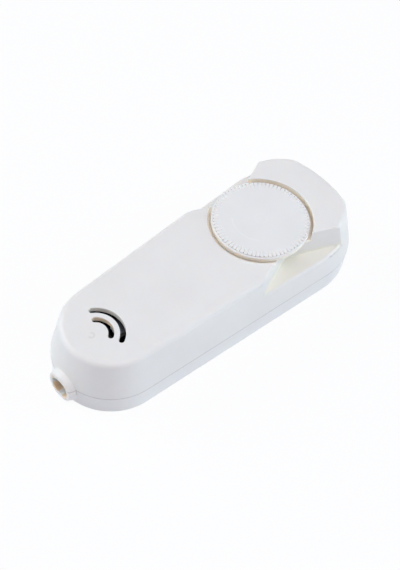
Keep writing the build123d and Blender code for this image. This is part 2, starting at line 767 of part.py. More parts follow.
# Terminal blocks: a moulded block each, brass cages in its pockets, and a screw in each cage
terminals = (("supply", terminal_tail_x, -1), ("lamp", terminal_head_x, 1))
cage_z = board_top + cage_lift
cage_places = [(x, side * terminal_pitch / 2, cage_z) for _, x, _ in terminals for side in (1, -1)]
wire_z = board_top + cage_lift + cage_wire_rise
for name, x, entry in terminals:
    with BuildPart() as terminal:
        with Locations((x, 0, board_top)):
            Box(terminal_depth, terminal_width, terminal_height, align=STANDING)
        chamfer(terminal.faces().sort_by(Axis.Z)[-1].edges(), length=terminal_edge)
        with Locations((x, 0, board_top)):
            with GridLocations(1, terminal_pitch, 1, 2):
                Box(cage_size + cage_gap, cage_size + cage_gap, cage_lift + cage_height + cage_gap,
                    align=STANDING, mode=Mode.SUBTRACT)
                Cylinder(terminal_head_radius + cage_gap, terminal_height, align=STANDING, mode=Mode.SUBTRACT)
        with BuildSketch(Plane.YZ.offset(x)):
            with Locations((0, wire_z)):
                with GridLocations(terminal_pitch, 1, 2, 1):
                    Circle(terminal_wire_radius)
        extrude(amount=entry * terminal_depth, mode=Mode.SUBTRACT)
    terminal.part.label = f"terminal_block_{name}"
    export_step(terminal.part, f"parts/terminal_block_{name}.step")

with BuildPart() as terminal_cages:
    with Locations(*cage_places):
        Box(cage_size, cage_size, cage_height, align=STANDING)
        Cylinder(terminal_screw_radius + thread_gap, 2 * cage_height, align=STANDING, mode=Mode.SUBTRACT)
    with BuildSketch(Plane.YZ):
        with Locations((0, wire_z)):
            with GridLocations(terminal_pitch, 1, 2, 1):
                Circle(terminal_wire_radius)
    extrude(amount=overall_length, both=True, mode=Mode.SUBTRACT)
terminal_cages.part.label = "terminal_cages"
export_step(terminal_cages.part, "parts/terminal_cages.step")

with BuildPart() as terminal_screws:
    with Locations(*cage_places):
        with Locations((0, 0, cage_wire_rise + terminal_wire_radius)):
            screw_reach = cage_height - cage_wire_rise - terminal_wire_radius + terminal_head_lift
            Cylinder(terminal_screw_radius, screw_reach, align=STANDING)
        with Locations((0, 0, cage_height + terminal_head_lift)):
            Cylinder(terminal_head_radius, terminal_head_height, align=STANDING)
            with Locations((0, 0, terminal_head_height)):
                Box(2 * terminal_head_radius, terminal_slot_width, 2 * terminal_slot_depth,
                    mode=Mode.SUBTRACT)
terminal_screws.part.label = "terminal_screws"
export_step(terminal_screws.part, "parts/terminal_screws.step")

# Cord clamps: an arched strap over each cord path, with a screw at each foot
clamps = (("supply", clamp_tail_x), ("lamp", clamp_head_x))
for name, x in clamps:
    with BuildPart() as clamp:
        with BuildSketch(Plane.YZ.offset(x - clamp_width / 2)):
            with Locations((0, cord_axis)):
                Circle(cord_bore_radius + clamp_arch)
            with Locations((0, clamp_seat)):
                Rectangle(2 * clamp_half_span, clamp_foot, align=(Align.CENTER, Align.MIN))
            with Locations((0, cord_axis)):
                Circle(cord_bore_radius, mode=Mode.SUBTRACT)
            with Locations((0, clamp_seat)):
                Rectangle(2 * clamp_half_span, head_radius, align=(Align.CENTER, Align.MAX),
                          mode=Mode.SUBTRACT)
        extrude(amount=clamp_width)
        with Locations(*[(x, side * clamp_screw_y, clamp_seat) for side in (1, -1)]):
            Cylinder(clamp_screw_radius + screw_clearance, clamp_foot, align=STANDING, mode=Mode.SUBTRACT)
    clamp.part.label = f"cord_clamp_{name}"
    export_step(clamp.part, f"parts/cord_clamp_{name}.step")

with BuildPart() as clamp_screws:
    foot_top = clamp_seat + clamp_foot
    with Locations(*[(x, side * clamp_screw_y, foot_top) for _, x in clamps for side in (1, -1)]):
        Cylinder(clamp_screw_head_radius, clamp_screw_head_height, align=STANDING)
        Cylinder(clamp_screw_radius, clamp_screw_length - clamp_foot,
                 align=(Align.CENTER, Align.CENTER, Align.MAX))
clamp_screws.part.label = "clamp_screws"
export_step(clamp_screws.part, "parts/clamp_screws.step")

# Circuit board, with a hole for every pin and lead
with BuildPart() as circuit_board:
    with BuildSketch(Plane.XY.offset(board_underside)):
        add(plan_outline(wall + board_gap))
        with Locations(((board_tail_x + board_head_x) / 2, 0)):
            Rectangle(board_head_x - board_tail_x, 2 * head_radius, mode=Mode.INTERSECT)
        with Locations(*boss_places):
            Circle(boss_radius + board_gap / 2, mode=Mode.SUBTRACT)
    extrude(amount=board_thickness)
    for pins in (capacitor_pins, resistor_leads, diac_leads, triac_leads, pot_terminals):
        add(pins.part, mode=Mode.SUBTRACT)
circuit_board.part.label = "circuit_board"
export_step(circuit_board.part, "parts/circuit_board.step")
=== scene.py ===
"""Inline cord dimmer in white moulded plastic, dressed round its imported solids.

Every piece is in metres and in the frame of the solids: +X runs along the
length towards the dial end, +Z is up and the underside lies on Z = 0.
"""

import logging
import math
from collections.abc import Sequence
from dataclasses import dataclass, field
from enum import Enum

import bmesh
import bpy
from mathutils import Matrix, Vector


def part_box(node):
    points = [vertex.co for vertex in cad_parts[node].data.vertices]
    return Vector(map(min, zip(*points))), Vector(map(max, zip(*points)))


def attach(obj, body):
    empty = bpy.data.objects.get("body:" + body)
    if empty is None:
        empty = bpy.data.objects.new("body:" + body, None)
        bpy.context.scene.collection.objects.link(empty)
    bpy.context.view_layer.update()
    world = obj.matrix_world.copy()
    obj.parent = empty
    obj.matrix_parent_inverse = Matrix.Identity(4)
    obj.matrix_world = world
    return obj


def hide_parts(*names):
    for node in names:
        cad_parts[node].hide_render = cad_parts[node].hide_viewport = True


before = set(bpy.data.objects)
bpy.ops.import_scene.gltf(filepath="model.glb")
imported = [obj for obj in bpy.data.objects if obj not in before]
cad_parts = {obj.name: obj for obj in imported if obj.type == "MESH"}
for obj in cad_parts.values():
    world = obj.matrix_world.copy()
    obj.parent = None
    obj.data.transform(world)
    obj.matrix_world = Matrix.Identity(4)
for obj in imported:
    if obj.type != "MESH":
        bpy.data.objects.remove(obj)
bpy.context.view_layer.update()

MM = 0.001
# Lengths under this, in metres, count as nothing.
TINY = 1e-7
LOG = logging.getLogger("cord_dimmer")


def linear(hex_colour: str) -> tuple[float, float, float, float]:
    """Turn an sRGB colour into the linear light that Blender's sockets take.

    Args:
        hex_colour: Six hex digits, red first.

    Returns:
        Linear red, green and blue, and an alpha of 1.
    """
    channels = [int(hex_colour[at:at + 2], 16) / 255 for at in (0, 2, 4)]
    light = [c / 12.92 if c <= 0.04045 else ((c + 0.055) / 1.055) ** 2.4 for c in channels]
    return (*light, 1.0)


def add_node(
    tree: bpy.types.NodeTree,
    kind: str,
    values: dict[str | int, object] | None = None,
    links: dict[str | int, bpy.types.NodeSocket] | None = None,
    **settings: object,
) -> bpy.types.Node:
    """Add one node with its settings, constants and links.

    Args:
        tree: Shader or geometry tree that takes the node.
        kind: Blender's type name of the node.
        values: Constants by the name or number of the input socket.
        links: Output sockets by the name or number of the input that they feed.
        **settings: Attributes of the node itself.

    Returns:
        The new node.
    """
    node = tree.nodes.new(kind)
    for name, value in settings.items():
        setattr(node, name, value)
    for socket, value in (values or {}).items():
        node.inputs[socket].default_value = value
    for socket, source in (links or {}).items():
        tree.links.new(source, node.inputs[socket])
    return node


def new_piece(name: str, mesh: bpy.types.Mesh) -> bpy.types.Object:
    """Put a mesh into the scene as a piece at the origin.

    Args:
        name: The piece's name.
        mesh: Its mesh, in the frame of the solids.

    Returns:
        The piece.
    """
    piece = bpy.data.objects.new(name, mesh)
    bpy.context.scene.collection.objects.link(piece)
    return piece


def baked_mesh(piece: bpy.types.Object) -> bpy.types.Mesh:
    """Return a plain mesh of a piece with its modifiers worked in.

    Args:
        piece: Object with live modifiers.

    Returns:
        A new mesh that needs no modifier.
    """
    bpy.context.view_layer.update()
    graph = bpy.context.evaluated_depsgraph_get()
    return bpy.data.meshes.new_from_object(piece.evaluated_get(graph))


def shade(mesh: bpy.types.Mesh, crease_degrees: float) -> None:
    """Shade a mesh smooth, apart from its creases.

    Args:
        mesh: Mesh to shade.
        crease_degrees: Angle between faces above which an edge stays sharp.
    """
    mesh.polygons.foreach_set("use_smooth", [True] * len(mesh.polygons))
    mesh.set_sharp_from_angle(angle=math.radians(crease_degrees))


def turned_mesh(
    name: str, profile: Sequence[tuple[float, float]], steps: int, axis_x: float = 0.0,
) -> bpy.types.Mesh:
    """Turn a profile about an upright axis.

    Args:
        name: Name of the mesh.
        profile: Radius and height of each ring, from the top round to the underside.
        steps: Number of faces round the axis.
        axis_x: Where the axis stands.

    Returns:
        A closed mesh whose faces point outwards.
    """
    shape = bmesh.new()
    rings = []
    for radius, height in profile:
        if radius < TINY:
            rings.append([shape.verts.new((axis_x, 0, height))] * steps)
            continue
        rings.append([
            shape.verts.new((axis_x + radius * math.cos(turn), radius * math.sin(turn), height))
            for turn in (2 * math.pi * step / steps for step in range(steps))
        ])
    for upper, lower in zip(rings, rings[1:]):
        for step in range(steps):
            after = (step + 1) % steps
            corners = [upper[step], lower[step], lower[after], upper[after]]
            shape.faces.new(list(dict.fromkeys(corners)))
    bmesh.ops.recalc_face_normals(shape, faces=shape.faces)
    mesh = bpy.data.meshes.new(name)
    shape.to_mesh(mesh)
    shape.free()
    return mesh


def quarter(
    centre: tuple[float, float], radius: float, start: float, end: float, steps: int,
) -> list[tuple[float, float]]:
    """Points of a round corner of a profile.

    Args:
        centre: Radius and height of the corner's centre.
        radius: Radius of the corner.
        start: Angle of the first point, in degrees.
        end: Angle of the last point, in degrees.
        steps: Number of chords.

    Returns:
        Radius and height of each point.
    """
    angles = [math.radians(start + (end - start) * step / steps) for step in range(steps + 1)]
    return [(centre[0] + radius * math.cos(a), centre[1] + radius * math.sin(a)) for a in angles]


class Surface(Enum):
    """How a surface was made, which settles the marks that it shows."""

    MOULDED = "moulded"
    DRAWN = "drawn"
    PRESSED = "pressed"
    CLEAR = "clear"


# A tint's sector fades out over this share of its half angle.
SECTOR_FADE = 1.15
# Red light goes farthest into white plastic, so the scattering is warm.
WARM_SCATTER = (1.0, 0.8, 0.65)
# Levels of the noise between which a finish goes from one colour to the other.
TONE_LEVELS = (0.35, 0.65)
# Drawn lines run 25 times as long as they are wide.
DRAWN_STRETCH = 0.04
# Inputs of Blender's mix node that take its two colours, and its output for colours.
MIX_UNDER, MIX_OVER, MIX_RESULT = 6, 7, 2


@dataclass(frozen=True)
class Tint:
    """A stretch of a surface with another tone: painted shade in a gap or seam, painted warm light in a
    recess, or a witness mark.

    Lengths are in millimetres, about an upright axis in the frame of the solids. The sector is a
    direction from that axis and the half angle round it, in degrees.
    """

    colour: str
    share: float
    axis: tuple[float, float]
    radii: tuple[float, float]
    heights: tuple[float, float]
    soft_radius: float = 0.1
    soft_height: float = 0.1
    sector: tuple[float, float] = (0.0, 180.0)

    def factor(self, tree: bpy.types.NodeTree, place: bpy.types.NodeSocket) -> bpy.types.NodeSocket:
        """Say how much of the tint a point shows.

        Args:
            tree: The material's tree.
            place: Object coordinates.

        Returns:
            Share of the tint, from 0 to 1.
        """
        centre = (self.axis[0] * MM, self.axis[1] * MM, 0.0)
        away = add_node(tree, "ShaderNodeVectorMath", {1: centre}, {0: place}, operation="SUBTRACT")
        parts = add_node(tree, "ShaderNodeSeparateXYZ", links={0: away.outputs[0]}).outputs
        flat = add_node(tree, "ShaderNodeCombineXYZ", links={"X": parts["X"], "Y": parts["Y"]})
        level = flat.outputs[0]
        length = add_node(tree, "ShaderNodeVectorMath", links={0: level}, operation="LENGTH")
        radius = length.outputs["Value"]
        limits = [
            (radius, self.radii[0] - self.soft_radius, self.radii[0]),
            (radius, self.radii[1] + self.soft_radius, self.radii[1]),
            (parts["Z"], self.heights[0] - self.soft_height, self.heights[0]),
            (parts["Z"], self.heights[1] + self.soft_height, self.heights[1]),
        ]
        steps = [self.step(tree, value, none * MM, full * MM) for value, none, full in limits]
        middle, half = (math.radians(angle) for angle in self.sector)
        if half < math.pi:
            ahead = add_node(tree, "ShaderNodeVectorMath", links={0: level}, operation="NORMALIZE")
            facing = add_node(tree, "ShaderNodeVectorMath", {1: (math.cos(middle), math.sin(middle), 0.0)},
                              {0: ahead.outputs[0]}, operation="DOT_PRODUCT")
            none, full = math.cos(half * SECTOR_FADE), math.cos(half)
            steps.append(self.step(tree, facing.outputs["Value"], none, full))
        total = add_node(tree, "ShaderNodeMath", {1: self.share}, {0: steps[0]}, operation="MULTIPLY")
        for value in steps[1:]:
            total = add_node(tree, "ShaderNodeMath", links={0: total.outputs[0], 1: value},
                             operation="MULTIPLY")
        return total.outputs[0]

    @staticmethod
    def step(
        tree: bpy.types.NodeTree, value: bpy.types.NodeSocket, none: float, full: float,
    ) -> bpy.types.NodeSocket:
        """Rise softly from 0 at one value to 1 at another.

        Args:
            tree: The material's tree.
            value: The value to look at.
            none: Where the result is 0.
            full: Where the result is 1.

        Returns:
            The result.
        """
        if none < full:
            limits = {"From Min": none, "From Max": full, "To Min": 0.0, "To Max": 1.0}
        else:
            limits = {"From Min": full, "From Max": none, "To Min": 1.0, "To Max": 0.0}
        return add_node(tree, "ShaderNodeMapRange", limits, {"Value": value},
                        interpolation_type="SMOOTHSTEP").outputs["Result"]


@dataclass(frozen=True)
class Finish:
    """One finish: its colours, its gloss and the size of its marks.

    Lengths are in millimetres, each the real size of the mark that it names.
    """

    name: str
    colour: str
    second_colour: str
    roughness: float
    surface: Surface = Surface.MOULDED
    metallic: float = 0.0
    ior: float = 1.5
    tone_mm: float = 14.0
    mark_mm: float = 0.3
    mark_depth_mm: float = 0.004
    roughness_spread: float = 0.05
    scatter_mm: float = 0.0
    scatter_share: float = 0.4
    tints: tuple[Tint, ...] = ()

    def material(self) -> bpy.types.Material:
        """Build the material, or find the one that was built before.

        Returns:
            The material.
        """
        known = bpy.data.materials.get(self.name)
        if known:
            return known
        made = bpy.data.materials.new(self.name)
        made.use_nodes = True
        tree = made.node_tree
        tree.nodes.clear()
        place = add_node(tree, "ShaderNodeTexCoord").outputs["Object"]
        marks = self.marks(tree, place)
        smoothest, roughest = self.roughness - self.roughness_spread, self.roughness + self.roughness_spread
        rough = add_node(tree, "ShaderNodeMapRange", {"To Min": smoothest, "To Max": roughest},
                         {"Value": marks})
        bump = add_node(tree, "ShaderNodeBump", {"Distance": self.mark_depth_mm * MM}, {"Height": marks})
        shader = add_node(
            tree, "ShaderNodeBsdfPrincipled",
            {
                "Metallic": self.metallic,
                "IOR": self.ior,
                "Transmission Weight": 1.0 if self.surface is Surface.CLEAR else 0.0,
                "Subsurface Weight": self.scatter_share if self.scatter_mm else 0.0,
                "Subsurface Radius": WARM_SCATTER,
                "Subsurface Scale": self.scatter_mm * MM,
            },
            {
                "Base Color": self.tone(tree, place),
                "Roughness": rough.outputs["Result"],
                "Normal": bump.outputs["Normal"],
            },
        )
        add_node(tree, "ShaderNodeOutputMaterial", links={"Surface": shader.outputs["BSDF"]})
        return made

    def tone(self, tree: bpy.types.NodeTree, place: bpy.types.NodeSocket) -> bpy.types.NodeSocket:
        """Mix the two colours in soft patches, and lay the tints over them.

        Args:
            tree: The material's tree.
            place: Object coordinates.

        Returns:
            The mixed colour.
        """
        patch_scale = 1 / (self.tone_mm * MM)
        patches = add_node(tree, "ShaderNodeTexNoise", {"Scale": patch_scale, "Detail": 3.0},
                           {"Vector": place})
        ramp = add_node(tree, "ShaderNodeValToRGB", links={"Fac": patches.outputs["Fac"]})
        low, high = ramp.color_ramp.elements
        low.position, high.position = TONE_LEVELS
        low.color, high.color = linear(self.colour), linear(self.second_colour)
        mixed = ramp.outputs["Color"]
        for tint in self.tints:
            over = add_node(tree, "ShaderNodeMix", {MIX_OVER: linear(tint.colour)},
                            {0: tint.factor(tree, place), MIX_UNDER: mixed}, data_type="RGBA")
            mixed = over.outputs[MIX_RESULT]
        return mixed

    def marks(self, tree: bpy.types.NodeTree, place: bpy.types.NodeSocket) -> bpy.types.NodeSocket:
        """Make the height of the marks that the making left.

        Args:
            tree: The material's tree.
            place: Object coordinates.

        Returns:
            Height from 0 to 1.
        """
        scale = 1 / (self.mark_mm * MM)
        if self.surface is Surface.PRESSED:
            fibres = add_node(tree, "ShaderNodeTexVoronoi", {"Scale": scale}, {"Vector": place})
            return fibres.outputs["Distance"]
        if self.surface is Surface.DRAWN:
            stretch = add_node(tree, "ShaderNodeMapping", {"Scale": (DRAWN_STRETCH, 1.0, 1.0)},
                               {"Vector": place})
            place = stretch.outputs["Vector"]
        grain = add_node(tree, "ShaderNodeTexNoise", {"Scale": scale, "Detail": 2.0, "Roughness": 0.6},
                         {"Vector": place})
        return grain.outputs["Fac"]


# Axes that the tints go round, in millimetres: the dial, the vents and the cord entry.
DIAL_AXIS = (21.2, 0.0)
VENT_AXIS = (-39.6, 0.0)
ENTRY_AXIS = (-50.4, 0.0)
# Far off, so that a circle round it runs along the near side wall.
SIDE_AXIS = (44.4, 381.5)

# The fine dark line where cover and base meet: painted shade in the seam between them.
PARTING_LINE_SHADE = Tint("AFA091", 0.5, DIAL_AXIS, (0.0, 90.0), (6.72, 6.88), soft_height=0.08)
# Inside of the cord entry, which only warm light from the walls reaches.
ENTRY_BORE = Tint("EBD3AE", 1.0, ENTRY_AXIS, (0.0, 2.8), (2.1, 7.7))
COVER_TINTS = (
    PARTING_LINE_SHADE,
    # Light that comes back out of the well's narrow gap is warm and yellowed.
    Tint("FFF3E0", 1.0, DIAL_AXIS, (14.7, 15.0), (17.3, 20.15)),
    Tint("FFF6E6", 1.0, DIAL_AXIS, (5.3, 14.8), (17.2, 17.8)),
    # Painted warm bounce light on the floor of the near scoop, which is a shade creamier than the faces
    # round it.
    Tint("F1EDDC", 0.8, SIDE_AXIS, (386.0, 399.3), (12.9, 14.0), soft_radius=0.7, soft_height=0.2,
         sector=(-93.4, 2.4)),
    # Painted warm bounce light on the walls of the vent slots.
    Tint("FBEBD2", 1.0, VENT_AXIS, (3.0, 8.3), (16.5, 18.7), sector=(0.0, 64.0)),
    ENTRY_BORE,
    # Faint mark of the mould's gate beside the vents.
    Tint("CFC4BB", 0.3, VENT_AXIS, (0.6, 0.95), (18.8, 19.1), soft_radius=0.2, sector=(-60.0, 120.0)),
)
DIAL_TINTS = (
    # Side of the teeth, which takes the same warm light as the gap's other wall.
    Tint("FFF4E4", 1.0, DIAL_AXIS, (13.7, 14.2), (18.0, 19.5)),
    # Painted shade deep in the grooves at the ends of the teeth.
    Tint("8F8880", 0.45, DIAL_AXIS, (13.2, 13.5), (19.6, 19.95), soft_radius=0.05),
    # Faint marks on the face: a painted highlight along an arc, where a raised mark catches the light, and
    # a witness mark of the moulding round the middle.
    Tint("FFFEFA", 0.2, DIAL_AXIS, (8.0, 8.25), (20.2, 20.5), soft_radius=0.15, sector=(180.0, 38.0)),
    Tint("FFFEFA", 0.1, DIAL_AXIS, (1.6, 1.8), (20.2, 20.5), soft_radius=0.15),
)

# White ABS from a spark-eroded mould: a fine even grain that spreads the highlights. The real grain is
# about 0.05 mm and wouldn't show, so it is drawn at 0.28 mm.
COVER_ABS = Finish("white_abs_cover", "EFECE3", "ECE9E0", 0.42, mark_mm=0.28, mark_depth_mm=0.0035,
                   scatter_mm=0.8, tints=COVER_TINTS)
BASE_ABS = Finish("white_abs_base", "EFEDE6", "EDEAE3", 0.4, mark_mm=0.28, mark_depth_mm=0.003,
                  scatter_mm=0.8, tints=(PARTING_LINE_SHADE, ENTRY_BORE))
DIAL_ABS = Finish("white_abs_dial", "EFEDE5", "ECEAE2", 0.38, mark_mm=0.28, mark_depth_mm=0.0025,
                  scatter_mm=0.8, tints=DIAL_TINTS)
# White nylon straps, a little greyer and duller than the housing.
CLAMP_NYLON = Finish("nylon_clamp", "D6D6D2", "CFCFCA", 0.5, mark_mm=0.4)
# Black phenolic blocks, with the dull sheen of a filled moulding.
BLOCK_PHENOLIC = Finish("phenolic_terminal_block", "121213", "1A1A1B", 0.45, mark_mm=0.4)
# Black anodised extrusion: a dyed oxide with fine lines along the die's pull.
SINK_ANODISED = Finish("black_anodised_heat_sink", "0D0D0E", "151516", 0.4, Surface.DRAWN, 0.4,
                       mark_mm=0.25)
# Black epoxy of a semiconductor's body, with a coarse dull grain.
BODY_EPOXY = Finish("black_epoxy_body", "161617", "1D1D1E", 0.6, mark_mm=0.25, mark_depth_mm=0.006)
# Paper laminate, brown and mottled by its pressed fibres.
BOARD_LAMINATE = Finish("paper_laminate_board", "8A6A3A", "7C5D31", 0.5, Surface.PRESSED, mark_mm=1.2)
WAFER_LAMINATE = Finish("paper_laminate_wafer", "5F3E22", "54361D", 0.5, Surface.PRESSED, mark_mm=1.0)
# Carbon track, a dull printed black.
TRACK_CARBON = Finish("carbon_track", "151515", "1C1C1C", 0.7, mark_mm=0.15)
SPINDLE_NYLON = Finish("nylon_spindle", "2A2A2B", "303031", 0.45, mark_mm=0.3)
# Zinc-plated steel: bright blue-grey with a fine drawn grain.
ZINC_STEEL = Finish("zinc_plated_steel", "B9BCC0", "A9ADB3", 0.32, Surface.DRAWN, 1.0, mark_mm=0.12)
# Tinned leads and tabs, softer and whiter than zinc.
TINNED = Finish("tinned_copper", "C9C8C4", "BBBAB6", 0.35, Surface.DRAWN, 1.0, mark_mm=0.15)
BRASS = Finish("machined_brass", "CBA45A", "BC954D", 0.3, Surface.DRAWN, 1.0, mark_mm=0.12)
NICKEL = Finish("nickel_plated_cap", "CFCBC2", "C4C0B7", 0.2, Surface.DRAWN, 1.0, mark_mm=0.2)
# Enamelled copper wire: the lacquer adds a red-brown gloss.
ENAMELLED_COPPER = Finish("enamelled_copper", "B0602C", "A05224", 0.25, Surface.DRAWN, 1.0, mark_mm=0.3)
FERRITE = Finish("sintered_ferrite", "2B2B2D", "343437", 0.65, mark_mm=0.3, mark_depth_mm=0.008)
CAPACITOR_YELLOW = Finish("yellow_box_capacitor", "D9A81E", "CF9F1A", 0.3, mark_mm=0.5)
CAPACITOR_RED = Finish("red_dipped_capacitor", "8A2415", "7D1F12", 0.25, mark_mm=0.8)
RESISTOR_LACQUER = Finish("beige_resistor_lacquer", "C4A877", "B99D6C", 0.4, mark_mm=0.4)
DIAC_GLASS = Finish("blue_glass_diode", "3C669C", "355C8E", 0.15, mark_mm=0.4)
CLEAR_GLASS = Finish("clear_fuse_glass", "F4F8F7", "F0F5F4", 0.05, Surface.CLEAR, roughness_spread=0.02)

NODE_FINISHES: dict[str, Finish] = {
    "circuit_board": BOARD_LAMINATE,
    "pot_base": WAFER_LAMINATE,
    "pot_track": TRACK_CARBON,
    "pot_case": ZINC_STEEL,
    "pot_spindle": SPINDLE_NYLON,
    "pot_wiper": BRASS,
    "pot_terminals": TINNED,
    "terminal_block_supply": BLOCK_PHENOLIC,
    "terminal_block_lamp": BLOCK_PHENOLIC,
    "terminal_cages": BRASS,
    "terminal_screws": ZINC_STEEL,
    "cord_clamp_supply": CLAMP_NYLON,
    "cord_clamp_lamp": CLAMP_NYLON,
    "clamp_screws": ZINC_STEEL,
    "heat_sink": SINK_ANODISED,
    "heat_sink_screw": ZINC_STEEL,
    "heat_sink_nut": ZINC_STEEL,
    "triac_tab": TINNED,
    "triac_body": BODY_EPOXY,
    "triac_leads": TINNED,
    "choke_core": FERRITE,
    "suppression_capacitor": CAPACITOR_YELLOW,
    "timing_capacitor": CAPACITOR_RED,
    "capacitor_pins": TINNED,
    "resistors": RESISTOR_LACQUER,
    "resistor_leads": TINNED,
    "diac": DIAC_GLASS,
    "diac_leads": TINNED,
    "fuse_tube": CLEAR_GLASS,
    "fuse_caps": NICKEL,
    "fuse_clips": TINNED,
    "fuse_wire": TINNED,
}


@dataclass
class FormTree:
    """A Geometry Nodes tree with named sizes that turns a start mesh into a piece."""

    name: str
    sizes: dict[str, float | int]
    tree: bpy.types.NodeTree = field(init=False)
    start: bpy.types.Node = field(init=False)

    def __post_init__(self) -> None:
        """Make the empty tree with one input for each size."""
        self.tree = bpy.data.node_groups.new(self.name, "GeometryNodeTree")
        sockets = self.tree.interface
        sockets.new_socket("Geometry", in_out="INPUT", socket_type="NodeSocketGeometry")
        for name, value in self.sizes.items():
            kind = "NodeSocketInt" if isinstance(value, int) else "NodeSocketFloat"
            sockets.new_socket(name, in_out="INPUT", socket_type=kind)
        sockets.new_socket("Material", in_out="INPUT", socket_type="NodeSocketMaterial")
        sockets.new_socket("Geometry", in_out="OUTPUT", socket_type="NodeSocketGeometry")
        self.start = add_node(self.tree, "NodeGroupInput")

    def close(self, geometry: bpy.types.NodeSocket) -> None:
        """End the tree: real geometry, with the finish set.

        Args:
            geometry: The finished form.
        """
        real = add_node(self.tree, "GeometryNodeRealizeInstances", links={0: geometry})
        dressed = add_node(self.tree, "GeometryNodeSetMaterial",
                           links={"Geometry": real.outputs[0], "Material": self.start.outputs["Material"]})
        add_node(self.tree, "NodeGroupOutput", links={0: dressed.outputs[0]})

    def piece(self, name: str, start_mesh: bpy.types.Mesh, finish: Finish) -> bpy.types.Object:
        """Run the tree on a start mesh and keep the result as a plain piece.

        Args:
            name: The piece's name.
            start_mesh: Mesh that the tree starts from.
            finish: The piece's finish.

        Returns:
            A piece with a plain mesh and no modifier.
        """
        worker = new_piece(name + "_start", start_mesh)
        modifier = worker.modifiers.new("form", "NODES")
        modifier.node_group = self.tree
        values = {**self.sizes, "Material": finish.material()}
        for socket in self.tree.interface.items_tree:
            if socket.in_out == "INPUT" and socket.name in values:
                modifier[socket.identifier] = values[socket.name]
        mesh = baked_mesh(worker)
        mesh.name = name
        bpy.data.objects.remove(worker)
        return new_piece(name, mesh)


@dataclass
class Moulding:
    """A moulded shell, taken from its solid, with the small round of a real mould on every edge.

    A thumb scoop's floor runs out in the side wall with a softer round. Its outer edge lies past
    run_out_y_mm from the middle and between the heights of run_out_z_mm.
    """

    node: str
    name: str
    finish: Finish
    edge_mm: float = 0.22
    scoop_floor_edge_mm: float = 0.9
    run_out_y_mm: float = 16.5
    run_out_z_mm: tuple[float, float] = (12.6, 14.2)
    edge_segments: int = 3
    crease_degrees: float = 35.0
    flat_degrees: float = 0.3
    join_mm: float = 0.0005
    short_edge_mm: float = 0.05

    def build(self) -> bpy.types.Object:
        """Make the piece and put it in place of its node.

        Returns:
            The piece.
        """
        shape = bmesh.new()
        shape.from_mesh(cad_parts[self.node].data)
        bmesh.ops.remove_doubles(shape, verts=shape.verts, dist=self.join_mm * MM)
        bmesh.ops.dissolve_limit(shape, angle_limit=math.radians(self.flat_degrees), verts=shape.verts,
                                 edges=shape.edges)
        bmesh.ops.dissolve_degenerate(shape, dist=self.short_edge_mm * MM, edges=shape.edges)
        rounds = shape.edges.layers.float.new("bevel_weight_edge")
        for edge in shape.edges:
            edge[rounds] = self.radius_of(edge) / self.scoop_floor_edge_mm
        mesh = bpy.data.meshes.new(self.name)
        shape.to_mesh(mesh)
        shape.free()
        mesh.materials.clear()
        mesh.materials.append(self.finish.material())
        piece = new_piece(self.name, mesh)
        rounding = piece.modifiers.new("mould_radius", "BEVEL")
        rounding.width = self.scoop_floor_edge_mm * MM
        rounding.segments = self.edge_segments
        rounding.limit_method = "WEIGHT"
        rounding.use_clamp_overlap = False
        baked = baked_mesh(piece)
        # The rounds must not reach below the flat underside.
        for vert in baked.vertices:
            vert.co.z = max(vert.co.z, 0.0)
        piece.modifiers.clear()
        piece.data = baked
        shade(piece.data, self.crease_degrees)
        weights = piece.modifiers.new("flat_faces_rule", "WEIGHTED_NORMAL")
        weights.keep_sharp = True
        piece.data = baked_mesh(piece)
        piece.modifiers.clear()
        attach(piece, "housing")
        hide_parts(self.node)
        return piece

    def radius_of(self, edge: bmesh.types.BMEdge) -> float:
        """Choose the round of an edge: softer where a thumb scoop runs out in the side.

        Args:
            edge: An edge of the merged shell.

        Returns:
            Size of its round in millimetres, 0 for none.
        """
        if len(edge.link_faces) != 2 or edge.calc_face_angle(0.0) < math.radians(self.crease_degrees):
            return 0.0
        middle = (edge.verts[0].co + edge.verts[1].co) / (2 * MM)
        lowest, highest = self.run_out_z_mm
        if abs(middle.y) > self.run_out_y_mm and lowest < middle.z < highest:
            return self.scoop_floor_edge_mm
        return self.edge_mm


